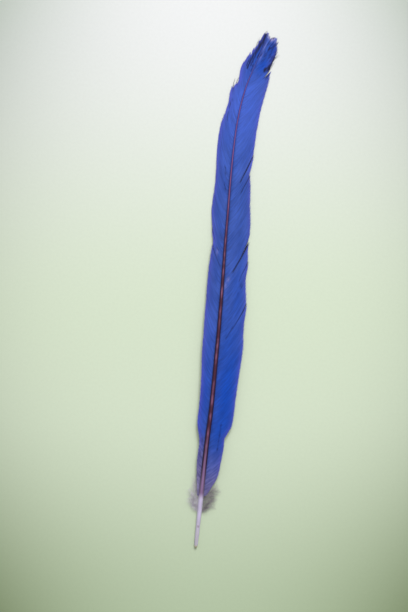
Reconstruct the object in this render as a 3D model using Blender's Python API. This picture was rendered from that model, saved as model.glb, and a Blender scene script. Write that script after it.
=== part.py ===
"""A long tail feather of an Iberian magpie, lying with its blue upper side up.

Metres. +Y runs along the straight part of the shaft, from the quill's end towards the tip,
+X to the right of it and +Z up. The origin is the middle of the feather's footprint, on the
surface that it lies on.

Most places are first given on the feather itself, as (along, out): along the shaft from the
quill's end, and out from the shaft's middle line. The left vane's side is -1, the right's +1.
"""

import bmesh
import bpy
import numpy as np

LEFT, RIGHT = -1, 1
MM = 0.001


def mm(*pairs):
    """Pairs of millimetres, as an array in metres."""
    return np.array(pairs) * MM


def curve_through(points):
    """A smooth curve through (x, y) points, level at each peak, so that it never swings past them."""
    x, y = np.asarray(points).T
    step = np.diff(y) / np.diff(x)
    slope = np.zeros(len(x))
    slope[0], slope[-1] = step[0], step[-1]
    before, after = step[:-1], step[1:]
    same_way = before * after > 0
    slope[1:-1][same_way] = 2 / (1 / before[same_way] + 1 / after[same_way])

    def value(at):
        at = np.clip(at, x[0], x[-1])
        i = np.clip(np.searchsorted(x, at, side="right") - 1, 0, len(x) - 2)
        width = x[i + 1] - x[i]
        t = (at - x[i]) / width
        ends = y[i] * (1 + 2 * t) * (1 - t) ** 2 + y[i + 1] * t * t * (3 - 2 * t)
        return ends + width * t * (1 - t) * (slope[i] * (1 - t) - slope[i + 1] * t)

    return value


# Where the quill's end lies, so that the origin is the middle of the footprint.
QUILL_X = -0.00373
QUILL_Y = -0.1054

# The shaft, by distance along it: the swing of its middle line to the right, half its width,
# the height of its underside above the surface, and how deep the groove below it is, as a
# share of half its width.
SHAFT_LENGTH = 0.2085
SHAFT_SWEEP = curve_through(mm(
    (0, 0), (40, 0.4), (60, 0.98), (84, 1.0), (98, 0.87), (112, 0.6), (124, 0.32), (136, 0.2), (150, 0),
    (158, 0.02), (168, 0.25), (178, 1.05), (188, 2.75), (192.5, 4.05), (198, 5.85), (208, 9.25), (214, 11.3)
))
SHAFT_HALF_WIDTH = curve_through(mm(
    (0, 0.32), (0.5, 0.55), (2, 0.72), (8, 0.82), (22, 1.03), (60, 0.92), (90, 0.8), (120, 0.62),
    (208.5, 0.24)
))
SHAFT_LIFT = curve_through(mm(
    (0, 0.4), (2, 0), (11, 0), (35, 1.3), (70, 2.5), (100, 2.6), (140, 1.7), (170, 0.9), (195, 0.25),
    (207, 0)
))
GROOVE_SHARE = curve_through([(0, 0), (0.022, 0), (0.034, 0.28), (0.19, 0.28), (0.204, 0)])
SHAFT_ASPECT = 1.12  # height to width
SHAFT_SIDES = 12
SHAFT_RING_GAP = 0.0052
QUILL_END_RINGS = (0, 0.0005, 0.0012, 0.002, 0.005)

# The vanes. Width is to the margin, and the frayed end is how far along the tip reaches.
VANE_START, VANE_END = 0.0206, 0.207
VANE_THICKNESS = 0.00036
VANE_WIDTH = {
    LEFT: curve_through(mm(
        (20, 1.2), (26, 2.2), (36, 3.1), (42, 2.95), (45, 3.35), (48, 4.25), (52, 4.95), (60, 4.95),
        (69, 5.25), (81, 5.95), (102, 6.15), (114, 5.95), (120, 5.5), (124.5, 5.05), (129, 5.7), (138, 6.7),
        (147, 6.1), (153, 6.15), (163, 6.75), (171, 6.55), (180, 5.2), (185.5, 5.6), (189.2, 3.75),
        (195, 4.95), (198, 4.5), (204, 2.75), (208, 2.1), (212, 1.9)
    )),
    RIGHT: curve_through(mm(
        (20, 1.2), (24.7, 3.6), (30, 5.9), (36, 6.6), (42, 7.05), (45, 6.9), (48, 7.9), (51, 9.15),
        (54, 9.45), (60, 9.5), (69, 9.85), (83, 10.55), (91, 10.1), (99, 10.4), (110.5, 9.4), (117, 9.85),
        (123, 9.25), (129, 9.75), (135, 9.4), (141, 8.75), (147, 8.5), (153, 7.65), (157, 8.1), (163, 8.4),
        (172, 8.4), (189, 8.3), (192, 8.1), (195.5, 7.25), (198.5, 6.25), (204, 6.1), (206.5, 5.65), (212, 5.2)
    )),
}
FRAYED_END = curve_through(mm(
    (-2.4, 207.2), (-2, 209.1), (-1.5, 210), (-0.7, 210.4), (0.2, 210), (1.2, 209.3), (2.1, 209.5),
    (2.9, 210.1), (3.9, 209.5), (4.9, 208.4), (5.6, 206.7), (6.2, 203.6)
))

# How each vane bends down from the shaft: the height of the sheet's middle at its full width.
FULL_WIDTH = {LEFT: 0.0067, RIGHT: 0.0105}
EDGE_HEIGHT = {
    LEFT: curve_through(mm((20, 1), (45, 1.9), (80, 2.3), (110, 1.5), (140, 0.5), (160, 0.2), (212, 0.2))),
    RIGHT: curve_through(mm((20, 0.9), (45, 2.4), (80, 2), (110, 0.9), (135, 0.3), (160, 0.2), (212, 0.2))),
}
CAMBER_POWER = 1.7
VANE_ROOT = 1.35  # height of the vane's root on the shaft, in half widths above its underside

# How barbs run: as they go out they lean towards the tip, and curl further towards it. They
# start a little inside the shaft, and none is longer out from it than the last value.
BARB_LEAN = curve_through([
    (0.02, 0.6), (0.03, 0.78), (0.185, 0.8), (0.194, 1.7), (0.199, 4), (0.202, 9), (0.207, 16)
])
BARB_CURL = {
    LEFT: curve_through([(0.02, 60), (0.08, 170), (0.14, 270), (0.2, 330)]),
    RIGHT: curve_through([(0.02, 25), (0.08, 80), (0.14, 140), (0.2, 200)]),
}
BARB_ROOT = 0.00005
LONGEST_OUT = 0.012
REACH_STEP = 0.00001

# Locks of barbs: their rise from the first barb to the last, which starts from nothing at the
# shaft, and how much longer the middle barbs are.
LOCK_WIDTH = curve_through(mm((20, 6.4), (185, 6.4), (200, 3), (209, 2)))
LOCK_GROOVE = 0.0003
LOCK_RISE = ((0.0, 0.0001), (0.5, 0.00007), (1.0, -0.0001))
LOCK_RISE_SHARE = 1 / 3
LOCK_POINT = 0.02
LOCK_COLUMNS = 8

# Splits: side, where the parted barbs leave the shaft, how far out they part, gap at the margin.
SPLITS = (
    (RIGHT, 0.0830, 0.0030, 0.0004),
    (RIGHT, 0.0999, 0.0062, 0.0004),
    (RIGHT, 0.1082, 0.0031, 0.0007),
    (RIGHT, 0.1382, 0.0045, 0.0003),
    (RIGHT, 0.1441, 0.0037, 0.0005),
    (RIGHT, 0.1842, 0.0050, 0.0008),
    (RIGHT, 0.1990, 0.0020, 0.0004),
    (RIGHT, 0.2018, 0.0004, 0.0003),
    (LEFT, 0.1130, 0.0020, 0.0003),
    (LEFT, 0.1172, 0.0026, 0.0003),
    (LEFT, 0.1749, 0.0040, 0.0003),
    (LEFT, 0.1805, 0.0034, 0.0003),
    (LEFT, 0.1985, 0.0016, 0.0003),
)

# Loose down at the foot of the vanes: where each lock's tip lies, along and out, and where it
# bends outwards, as shares of the way to its tip.
DOWN_TIPS = {
    LEFT: mm((17.3, 3.4), (19.6, 5.0), (22.6, 5.0), (25.8, 4.6), (29.2, 4.2)),
    RIGHT: mm((17.2, 3.4), (18.8, 5.2), (21.2, 6.3), (24.2, 6.7), (27.2, 6.3)),
}
DOWN_ROOTS = (0.0152, 0.0212)
DOWN_BEND_ALONG, DOWN_BEND_OUT = 0.3, 0.7
DOWN_HALF_WIDTH = curve_through([(0, 0.00075), (0.5, 0.00125), (1, 0.0001)])
DOWN_HALF_THICKNESS = curve_through([(0, 0.00025), (1, 0.00012)])
DOWN_TIP_HEIGHT = 0.0003
DOWN_SINK_POWER = 1.4
DOWN_SEGMENTS = 6

# Linear red, green and blue with full cover, and roughness.
FINISHES = {
    "vane_blue": ((0.055, 0.095, 0.46, 1.0), 0.55),
    "shaft_brown": ((0.16, 0.07, 0.11, 1.0), 0.4),
    "down_grey": ((0.3, 0.27, 0.31, 1.0), 0.8),
}


def on_feather(along, out, height):
    """World points for places on the feather, out being square to the shaft's middle line."""
    slope = (SHAFT_SWEEP(along + MM / 2) - SHAFT_SWEEP(along - MM / 2)) / MM
    run = np.hypot(1, slope)
    x = QUILL_X + SHAFT_SWEEP(along) + out / run
    y = QUILL_Y + along - out * slope / run
    return np.stack([x, y, np.broadcast_to(height, x.shape)], axis=-1)


def sheet_height(side, along, out):
    """Height of the middle of a vane's sheet, which bends down from the shaft to its margin."""
    root = SHAFT_LIFT(along) + VANE_ROOT * SHAFT_HALF_WIDTH(along)
    share = np.clip(out / FULL_WIDTH[side], 0, 1) ** CAMBER_POWER
    return root + (EDGE_HEIGHT[side](along) - root) * share


def barb_along(side, base, out):
    """How far along the feather a barb that leaves the shaft at base is, when it is that far out."""
    return base + out * (BARB_LEAN(base) + BARB_CURL[side](base) * out)


def barb_reach(side, base):
    """How far out a barb reaches: to the margin, or to the frayed end."""
    out = np.arange(0, LONGEST_OUT, REACH_STEP)
    along = barb_along(side, base, out)
    past = (out > VANE_WIDTH[side](along)) | (along > FRAYED_END(side * out))
    return out[np.argmax(past)]


def lock_edges(side):
    """Where the locks of one vane meet at the shaft: at every split, and evenly in between."""
    marks = [VANE_START, *(base for on, base, _, _ in SPLITS if on == side), VANE_END]
    edges = []
    for low, high in zip(marks, marks[1:]):
        count = max(1, round(float((high - low) / LOCK_WIDTH((low + high) / 2))))
        edges += list(np.linspace(low, high, count, endpoint=False))
    return [*edges, VANE_END]


def row_of_lock(side, low, high, share, rise):
    """One line of places along a barb of the lock: along, out and the height of the sheet."""
    base = low + LOCK_GROOVE / 2 + share * (high - low - LOCK_GROOVE)
    reach = barb_reach(side, base) * (1 + LOCK_POINT * (1 - abs(2 * share - 1)))
    out = np.linspace(BARB_ROOT, reach, LOCK_COLUMNS + 1)
    along = barb_along(side, base, out)
    risen = np.minimum(1, out / (reach * LOCK_RISE_SHARE))
    return along, out, sheet_height(side, along, out) + rise * risen


def part_rows(before, after, opens, gap):
    """Spreads the rows on both sides of a split, from where it opens to the margin."""
    for (along, out, _), way in ((before, -1), (after, 1)):
        slope = np.gradient(along, out)
        push = way * gap / 2 * np.clip((out - opens) / (out[-1] - opens), 0, 1)
        along += push / np.hypot(1, slope)
        out -= push * slope / np.hypot(1, slope)


def solid(name, points, faces):
    """An object with these faces, unused points dropped and faces turned outwards."""
    mesh = bpy.data.meshes.new(name)
    mesh.from_pydata([tuple(map(float, p)) for p in points], [], faces)
    shape = bmesh.new()
    shape.from_mesh(mesh)
    bmesh.ops.delete(shape, geom=[v for v in shape.verts if not v.link_faces], context="VERTS")
    bmesh.ops.recalc_face_normals(shape, faces=shape.faces)
    shape.to_mesh(mesh)
    shape.free()
    made = bpy.data.objects.new(name, mesh)
    bpy.context.scene.collection.objects.link(made)
    return made


def closed_sheet(name, top, bottom, cells):
    """A solid of quads on two grids of points, closed by walls round the cells that are there."""
    columns = top.shape[1]
    below = top.shape[0] * columns
    faces, sides = [], {}
    for row, column in cells:
        a = row * columns + column
        corners = (a, a + 1, a + columns + 1, a + columns)
        faces += [corners, tuple(below + corner for corner in reversed(corners))]
        for start, end in zip(corners, corners[1:] + corners[:1]):
            if (end, start) in sides:
                del sides[end, start]
            else:
                sides[start, end] = (end, start, below + start, below + end)
    return solid(name, [*top.reshape(-1, 3), *bottom.reshape(-1, 3)], faces + list(sides.values()))


def vane(side, name):
    """One vane: a bent sheet of locks of barbs, open along its splits."""
    edges = lock_edges(side)
    splits = {base: (opens, gap) for on, base, opens, gap in SPLITS if on == side}
    rows = []
    for low, high in zip(edges, edges[1:]):
        rows += [row_of_lock(side, low, high, share, rise) for share, rise in LOCK_RISE]
    cells = []
    for i in range(len(rows) - 1):
        lock, place = divmod(i, len(LOCK_RISE))
        last_column = LOCK_COLUMNS
        if place == len(LOCK_RISE) - 1 and edges[lock + 1] in splits:
            opens, gap = splits[edges[lock + 1]]
            part_rows(rows[i], rows[i + 1], opens, gap)
            last_column = int(np.searchsorted(rows[i][1], opens))
        cells += [(i, column) for column in range(last_column)]
    along, out, middle = (np.array(line) for line in zip(*rows))
    bottom = np.maximum(middle - VANE_THICKNESS / 2, 0)
    top_points = on_feather(along, side * out, bottom + VANE_THICKNESS)
    return closed_sheet(name, top_points, on_feather(along, side * out, bottom), cells)


def loft(name, rings):
    """A closed skin over rings of points, with a flat cap on the first and the last."""
    sides = len(rings[0])
    faces = [tuple(range(sides)), tuple((len(rings) - 1) * sides + k for k in range(sides))]
    for ring in range(len(rings) - 1):
        for k in range(sides):
            a, b = ring * sides + k, ring * sides + (k + 1) % sides
            faces.append((a, b, b + sides, a + sides))
    return solid(name, np.concatenate(rings), faces)


def shaft(name):
    """The quill and the shaft as one tapering rod, rounded above, grooved below."""
    even = np.arange(QUILL_END_RINGS[-1], SHAFT_LENGTH, SHAFT_RING_GAP)[1:]
    turn = (np.arange(SHAFT_SIDES) + 0.5) * 2 * np.pi / SHAFT_SIDES
    across, up = np.cos(turn), np.sin(turn) / np.cos(np.pi / SHAFT_SIDES)
    lowest = np.isclose(up, -1)
    rings = []
    for along in [*QUILL_END_RINGS, *even, SHAFT_LENGTH]:
        half = SHAFT_HALF_WIDTH(along)
        height = SHAFT_LIFT(along) + SHAFT_ASPECT * half * (1 + up) + lowest * GROOVE_SHARE(along) * half
        rings.append(on_feather(np.full(SHAFT_SIDES, along), across * half, height))
    return loft(name, rings)


def down_lock(side, root, tip, name):
    """A flat tapering lock of loose down that curves out from the quill and sinks to the surface."""
    t = np.linspace(0, 1, DOWN_SEGMENTS + 1)
    bend_along = root + DOWN_BEND_ALONG * (tip[0] - root)
    along = (1 - t) ** 2 * root + 2 * t * (1 - t) * bend_along + t * t * tip[0]
    out = (2 * t * (1 - t) * DOWN_BEND_OUT + t * t) * tip[1]
    start = SHAFT_LIFT(root) + SHAFT_HALF_WIDTH(root)
    height = start + (DOWN_TIP_HEIGHT - start) * t**DOWN_SINK_POWER
    way_along, way_out = np.gradient(along), np.gradient(out)
    half = DOWN_HALF_WIDTH(t) / np.hypot(way_along, way_out)
    thick = DOWN_HALF_THICKNESS(t)
    rings = []
    for k in range(len(t)):
        to_edge = np.array([1, 0, -1, 0]) * half[k]
        rise = np.array([0, 1, 0, -1]) * thick[k]
        ring_out = side * (out[k] + way_along[k] * to_edge)
        rings.append(on_feather(along[k] - way_out[k] * to_edge, ring_out, height[k] + rise))
    return loft(name, rings)


def material(name):
    """A plain surface of one colour and roughness."""
    colour, roughness = FINISHES[name]
    made = bpy.data.materials.new(name)
    made.use_nodes = True
    shader = made.node_tree.nodes["Principled BSDF"]
    shader.inputs["Base Color"].default_value = colour
    shader.inputs["Roughness"].default_value = roughness
    made.diffuse_color = colour
    return made


def fuse(body, helper):
    """Joins a helper's shape to the body, and hides the helper."""
    join = body.modifiers.new(helper.name, "BOOLEAN")
    join.operation = "UNION"
    join.solver = "EXACT"
    join.object = helper
    helper.hide_render = True
    helper.display_type = "WIRE"


def main():
    for old in list(bpy.data.objects):
        bpy.data.objects.remove(old)
    feather = shaft("tail_feather")
    feather.data.materials.append(material("shaft_brown"))
    blue, grey = material("vane_blue"), material("down_grey")
    for side, word in ((LEFT, "left"), (RIGHT, "right")):
        sheet = vane(side, f"vane_{word}")
        sheet.data.materials.append(blue)
        fuse(feather, sheet)
        roots = np.linspace(*DOWN_ROOTS, len(DOWN_TIPS[side]))
        for number, (root, tip) in enumerate(zip(roots, DOWN_TIPS[side])):
            lock = down_lock(side, root, tip, f"down_{word}_{number}")
            lock.data.materials.append(grey)
            fuse(feather, lock)


main()
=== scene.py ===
"""The looks of an Iberian magpie's tail feather: each barb of both vanes, the horn shaft and the down.

Metres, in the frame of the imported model: +Y runs along the straight part of the shaft, from the
quill's end towards the tip, +X to the right of it and +Z up. Most places are first given on the
feather itself, as (along, out): along the shaft from the quill's end, and out from the shaft's
middle line. The left vane's side is -1, the right's +1.
"""

import bmesh
import bpy
import numpy as np
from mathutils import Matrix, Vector


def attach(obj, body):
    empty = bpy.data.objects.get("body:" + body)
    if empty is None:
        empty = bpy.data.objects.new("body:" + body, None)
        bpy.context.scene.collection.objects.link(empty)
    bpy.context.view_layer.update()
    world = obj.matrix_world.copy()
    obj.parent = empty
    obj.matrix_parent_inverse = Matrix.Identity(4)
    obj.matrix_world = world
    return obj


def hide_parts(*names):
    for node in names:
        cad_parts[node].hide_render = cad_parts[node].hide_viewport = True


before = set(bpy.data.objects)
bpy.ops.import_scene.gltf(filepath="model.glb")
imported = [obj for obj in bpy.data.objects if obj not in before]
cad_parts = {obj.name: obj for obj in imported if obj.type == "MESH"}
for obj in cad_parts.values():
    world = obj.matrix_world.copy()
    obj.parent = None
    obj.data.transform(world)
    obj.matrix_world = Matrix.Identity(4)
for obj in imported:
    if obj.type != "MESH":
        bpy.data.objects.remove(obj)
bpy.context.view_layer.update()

LEFT, RIGHT = -1, 1
SIDES = ((LEFT, "left"), (RIGHT, "right"))
MM = 0.001


def mm(*pairs):
    """Pairs of millimetres, as an array in metres."""
    return np.array(pairs) * MM


def colour(red, green, blue):
    """A linear colour from the red, green and blue of a screen, each 0 to 255."""
    share = np.array([red, green, blue]) / 255
    linear = np.where(share <= 0.04045, share / 12.92, ((share + 0.055) / 1.055) ** 2.4)
    return (*linear.tolist(), 1.0)


def curve_through(points):
    """A smooth curve through (x, y) points, level at each peak, so that it never swings past them."""
    x, y = np.asarray(points).T
    step = np.diff(y) / np.diff(x)
    slope = np.zeros(len(x))
    slope[0], slope[-1] = step[0], step[-1]
    before, after = step[:-1], step[1:]
    same_way = before * after > 0
    slope[1:-1][same_way] = 2 / (1 / before[same_way] + 1 / after[same_way])

    def value(at):
        at = np.clip(at, x[0], x[-1])
        i = np.clip(np.searchsorted(x, at, side="right") - 1, 0, len(x) - 2)
        width = x[i + 1] - x[i]
        t = (at - x[i]) / width
        ends = y[i] * (1 + 2 * t) * (1 - t) ** 2 + y[i + 1] * t * t * (3 - 2 * t)
        return ends + width * t * (1 - t) * (slope[i] * (1 - t) - slope[i + 1] * t)

    return value


# The feather's form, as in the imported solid.
QUILL_X = -0.00373
QUILL_Y = -0.1054
SHAFT_LENGTH = 0.2085
SHAFT_SWEEP = curve_through(mm(
    (0, 0), (40, 0.4), (60, 0.98), (84, 1.0), (98, 0.87), (112, 0.6), (124, 0.32), (136, 0.2), (150, 0),
    (158, 0.02), (168, 0.25), (178, 1.05), (188, 2.75), (192.5, 4.05), (198, 5.85), (208, 9.25), (214, 11.3)
))
SHAFT_HALF_WIDTH = curve_through(mm(
    (0, 0.32), (0.5, 0.55), (2, 0.72), (8, 0.82), (22, 1.03), (60, 0.92), (90, 0.8), (120, 0.62),
    (208.5, 0.24)
))
SHAFT_LIFT = curve_through(mm(
    (0, 0.4), (2, 0), (11, 0), (35, 1.3), (70, 2.5), (100, 2.6), (140, 1.7), (170, 0.9), (195, 0.25),
    (207, 0)
))
GROOVE_SHARE = curve_through([(0, 0), (0.022, 0), (0.034, 0.28), (0.19, 0.28), (0.204, 0)])
SHAFT_ASPECT = 1.12  # height to width
VANE_START, VANE_END = 0.0206, 0.207
VANE_WIDTH = {
    LEFT: curve_through(mm(
        (20, 1.2), (26, 2.2), (36, 3.1), (42, 2.95), (45, 3.35), (48, 4.25), (52, 4.95), (60, 4.95),
        (69, 5.25), (81, 5.95), (102, 6.15), (114, 5.95), (120, 5.5), (124.5, 5.05), (129, 5.7), (138, 6.7),
        (147, 6.1), (153, 6.15), (163, 6.75), (171, 6.55), (180, 5.2), (185.5, 5.6), (189.2, 3.75),
        (195, 4.95), (198, 4.5), (204, 2.75), (208, 2.1), (212, 1.9)
    )),
    RIGHT: curve_through(mm(
        (20, 1.2), (24.7, 3.6), (30, 5.9), (36, 6.6), (42, 7.05), (45, 6.9), (48, 7.9), (51, 9.15),
        (54, 9.45), (60, 9.5), (69, 9.85), (83, 10.55), (91, 10.1), (99, 10.4), (110.5, 9.4), (117, 9.85),
        (123, 9.25), (129, 9.75), (135, 9.4), (141, 8.75), (147, 8.5), (153, 7.65), (157, 8.1), (163, 8.4),
        (172, 8.4), (189, 8.3), (192, 8.1), (195.5, 7.25), (198.5, 6.25), (204, 6.1), (206.5, 5.65),
        (212, 5.2)
    )),
}
FRAYED_END = curve_through(mm(
    (-2.4, 207.2), (-2, 209.1), (-1.5, 210), (-0.7, 210.4), (0.2, 210), (1.2, 209.3), (2.1, 209.5),
    (2.9, 210.1), (3.9, 209.5), (4.9, 208.4), (5.6, 206.7), (6.2, 203.6)
))
FULL_WIDTH = {LEFT: 0.0067, RIGHT: 0.0105}
EDGE_HEIGHT = {
    LEFT: curve_through(mm((20, 1), (45, 1.9), (80, 2.3), (110, 1.5), (140, 0.5), (160, 0.2), (212, 0.2))),
    RIGHT: curve_through(mm((20, 0.9), (45, 2.4), (80, 2), (110, 0.9), (135, 0.3), (160, 0.2), (212, 0.2))),
}
CAMBER_POWER = 1.7
VANE_ROOT = 1.35  # height of the vane's root on the shaft, in half widths above its underside
BARB_LEAN = curve_through([
    (0.02, 0.6), (0.03, 0.78), (0.185, 0.8), (0.194, 1.7), (0.199, 4), (0.202, 9), (0.207, 16)
])
BARB_CURL = {
    LEFT: curve_through([(0.02, 60), (0.08, 170), (0.14, 270), (0.2, 330)]),
    RIGHT: curve_through([(0.02, 25), (0.08, 80), (0.14, 140), (0.2, 200)]),
}
BARB_ROOT = 0.00005
LONGEST_OUT = 0.012
REACH_STEP = 0.00001

# Splits: side, where the parted barbs leave the shaft, how far out they part, gap at the margin,
# and whether dark barbs that have sunk below the rest show in the gap, coloured with the painted crease
# shade.
SPLITS = (
    (RIGHT, 0.0830, 0.0030, 0.0004, True),
    (RIGHT, 0.0999, 0.0062, 0.0004, True),
    (RIGHT, 0.1082, 0.0031, 0.0007, True),
    (RIGHT, 0.1382, 0.0045, 0.0003, True),
    (RIGHT, 0.1441, 0.0037, 0.0005, True),
    (RIGHT, 0.1842, 0.0050, 0.0008, False),
    (RIGHT, 0.1990, 0.0020, 0.0004, True),
    (RIGHT, 0.2018, 0.0004, 0.0003, True),
    (LEFT, 0.1130, 0.0020, 0.0003, True),
    (LEFT, 0.1172, 0.0026, 0.0003, True),
    (LEFT, 0.1749, 0.0040, 0.0003, True),
    (LEFT, 0.1805, 0.0034, 0.0003, True),
    (LEFT, 0.1985, 0.0016, 0.0003, True),
)
SPLIT_FADE = 0.002  # how far beside a split the barbs give way
SHORTEST_SPLIT = 0.0005
SUNKEN_DEPTH = 0.00022
SUNKEN_PLACES = (-0.25, 0.25)  # of the sunken barbs, as shares of the gap
SUNKEN_START = 0.8  # share of the way out to where the split opens
SUNKEN_WIDTH = 1.3  # in barb gaps

# The barbs: distance across them, how much neighbours overlap, and the cross-section of one barb
# from its edge nearest the quill over its ridge to its edge nearest the tip and back below.
BARB_GAP = 0.00027
BARB_OVERLAP = 1.36
BARB_SEGMENTS = 16
SECTION_ACROSS = np.array([-1, -0.36, 0, 0.36, 1, 0])
SECTION_UP = np.array([-0.03, 0.0, 0.036, 0.008, 0.018, -0.055]) * MM
SECTION_RIDGE = np.array([0, 0.5, 1, 0.5, 0, 0])
SECTION_BELOW = np.array([0, 0, 0, 0, 1, 1])  # which faces look down, by the corner each starts at
THINNEST = 0.25  # share of the full thickness that is left where barbs run close together
POINTED_SHARE = 0.035
POINT_WIDTH = 0.1
OVERREACH = 0.0001
REACH_JITTER = 0.00012
TIP_JITTER = 0.0005
TIP_FROM = 0.19
JITTER_RANGE = (-1, 0.6)
SHORTEST_BARB = 0.0002
HELD_OUT = MM  # near the shaft, barbs neither wander nor swell
LIFT_JITTER = 0.00002
LOWEST = 0.00002
WANDER = 0.00005
WANDER_SIZE = 0.004
WANDER_SEED = 31
SWELL_HEIGHT = 0.00011
SWELL_SIZE = 0.011
SWELL_SEED = 41
SWELL_WAVES = 6
SWELL_RATE, SWELL_RATE_RANGE = 0.7, 0.6
ROW_SEED = 7
SHARP_ANGLE = np.radians(75)

# Colour patches on the vanes, in mm: what they add, along and out of the middle (the left vane's
# out is negative), half length, half width, strength. Scribbled ones have fine dark marks.
PATCHES = (
    ("deep", 198.5, 3, 4.5, 2.8, 1.0), ("deep", 205, 3.8, 4.5, 2, 1.0), ("deep", 202, -1.5, 8, 2.4, 0.9),
    ("deep", 62, 5.8, 30, 6, 1.0), ("deep", 81, 7.2, 9, 3, 0.6), ("deep", 50, 4.5, 11, 3.8, 0.9),
    ("deep", 62, -3.5, 20, 2.8, 0.75), ("deep", 102, 6.5, 14, 2.5, 0.5),
    ("bright", 180, 1.5, 17, 10, 1.0), ("bright", 84, -4, 14, 3, 0.4),
    ("scribbled", 204, 1.5, 8, 7, 1.0), ("scribbled", 198.5, -2.2, 4, 2.5, 0.9),
    ("dark", 200.5, -2.2, 3.2, 1.0, 0.55), ("dark", 208.2, 4.9, 1.5, 0.5, 0.8),
    ("dark", 205.4, 5.8, 2.2, 0.5, 0.85), ("dark", 201.6, 6.0, 2.5, 0.8, 0.9),
    ("dark", 198.6, 5.7, 1.9, 0.9, 1.1), ("dark", 197.0, 4.6, 1.2, 0.8, 1.1),
    ("dark", 195.6, 6.2, 1.6, 0.6, 1.0), ("dark", 194.2, 6.5, 1, 0.5, 0.8),
    ("dark", 107.6, 7.6, 2.5, 1.2, 0.5), ("dark", 103.5, 6.7, 2.5, 1.0, 0.45),
    ("dark", 90.5, 5.3, 2, 1.1, 0.35), ("dark", 43.6, -2.0, 3, 0.7, 0.5), ("dark", 38, -2.3, 3.2, 0.7, 0.5),
    ("dark", 46.4, -4.2, 1.6, 0.5, 0.5), ("dark", 42.5, -3.2, 1.6, 0.4, 0.5),
    ("worn", 210.1, -0.9, 0.6, 0.9, 0.5), ("worn", 209.7, 0.9, 1.0, 0.8, 1.0),
    ("worn", 209.1, 2.0, 0.9, 0.7, 0.9), ("worn", 209.7, 2.8, 0.9, 0.6, 0.6),
    ("worn", 208.9, 4.3, 0.9, 0.8, 0.6), ("worn", 205.2, 0.6, 2, 0.3, 0.22), ("worn", 201, 0.9, 2, 0.25, 0.2),
    ("worn", 106.8, 1.1, 1.2, 0.6, 0.2), ("worn", 109.4, 2.2, 1.0, 0.6, 0.2),
    ("worn", 120.3, -3.0, 1.2, 0.4, 0.2), ("worn", 25.5, -2.0, 3, 1, 0.3),
)

# Dark lines on the vanes, in mm: a smear of dark barbs, or a sharp crease that is dark barbules and
# painted shade; half width, strength, and the places on the line.
STROKES = (
    ("dark", 0.9, 0.78, (209.6, -1.1), (206.6, -1.0), (204.2, -1.5), (201.4, -1.9)),
    ("dark", 0.35, 0.8, (206.4, -0.3), (202.8, -0.2), (200, -0.5)),
    ("dark", 0.3, 0.8, (202.4, -1.4), (198.6, -1.5), (196.2, -1.6)),
    ("dark", 0.3, 0.95, (200.6, -2.4), (197.2, -2.4), (194.6, -2.5)),
    ("dark", 0.25, 0.85, (198.4, -3.2), (195.6, -3.1)), ("dark", 0.2, 0.8, (197.4, -0.7), (194.4, -0.7)),
    ("dark", 0.2, 0.8, (206.6, 2.6), (203.6, 2.4), (201, 2.0)),
    ("dark", 0.2, 0.8, (207.4, 4.2), (203.8, 3.9)),
    ("crease_shade", 0.22, 0.9, (182.1, -3.7), (180.8, -4.2), (178.7, -4.7)),
    ("crease_shade", 0.25, 0.6, (177.3, -4.2), (173.6, -4.3)),
    ("crease_shade", 0.14, 0.75, (155.7, -2.8), (151.7, -2)), ("crease_shade", 0.14, 0.7, (148.4, -2.3), (144.9, -1.4)),
    ("crease_shade", 0.16, 0.85, (122.3, -3.4), (120.8, -2.3)), ("crease_shade", 0.15, 0.4, (119.3, -3.7), (114.3, -1.3)),
    ("crease_shade", 0.25, 1.0, (160.1, 8.1), (154.1, 5.9), (149, 3.9)),
    ("crease_shade", 0.19, 0.75, (151.4, 7.4), (147.5, 5.7), (144.9, 4.7)),
    ("crease_shade", 0.34, 1.0, (126, 9.5), (118.6, 6.8), (112.7, 3.8)),
    ("crease_shade", 0.2, 0.6, (114.6, 8.9), (113, 7.9), (109.2, 6.7)),
    ("crease_shade", 0.16, 0.2, (97.3, 9.2), (90, 5.3)), ("crease_shade", 0.2, 0.7, (90.8, 5.7), (85.8, 3.2)),
    ("dark", 0.5, 0.55, (51.1, 4.7), (42.4, 4.6), (40.3, 4.5)),
)

# Pale at the margins, a lilac that is partly the barbs' colour and partly painted sheen of light through the
# thin edges, mauve at the foot, and painted shade at the roots of the vanes beside the shaft and at the
# splits.
LILAC_SHEEN_FADE = {LEFT: 0.0009, RIGHT: 0.0007}
LILAC_SHEEN_STRENGTH = {LEFT: 0.75, RIGHT: 0.7}
FOOT_SHARE = {
    LEFT: curve_through([(0.02, 1), (0.032, 0.85), (0.047, 0)]),
    RIGHT: curve_through([(0.02, 1), (0.026, 0.75), (0.032, 0.4), (0.042, 0)]),
}
# Painted shade by the shaft, where the barbs meet it, and along the splits over their dark barbules.
ROOT_SHADE_FADE = 0.00022
ROOT_SHADE = curve_through([(0.02, 0.3), (0.045, 0.6), (0.14, 0.55), (0.19, 0.15), (0.21, 0)])
SPLIT_SHADE = 0.0002
SPLIT_SHADE_STRENGTH = 0.75

# The shaft: sides round it, rings along it, and the pit in the quill's end.
SHAFT_SIDES = 48
SHAFT_RINGS = 420
SHAFT_RING_POWER = 1.15  # the rings stand closer together at the quill's end
GROOVE_HALF_TURN = 0.35
UNDERSIDE_TURN = 1.5 * np.pi
PIT_RINGS = ((0.52, 0.00002), (0.45, 0.0002), (0.3, 0.0008))  # share of the width, depth

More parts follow.
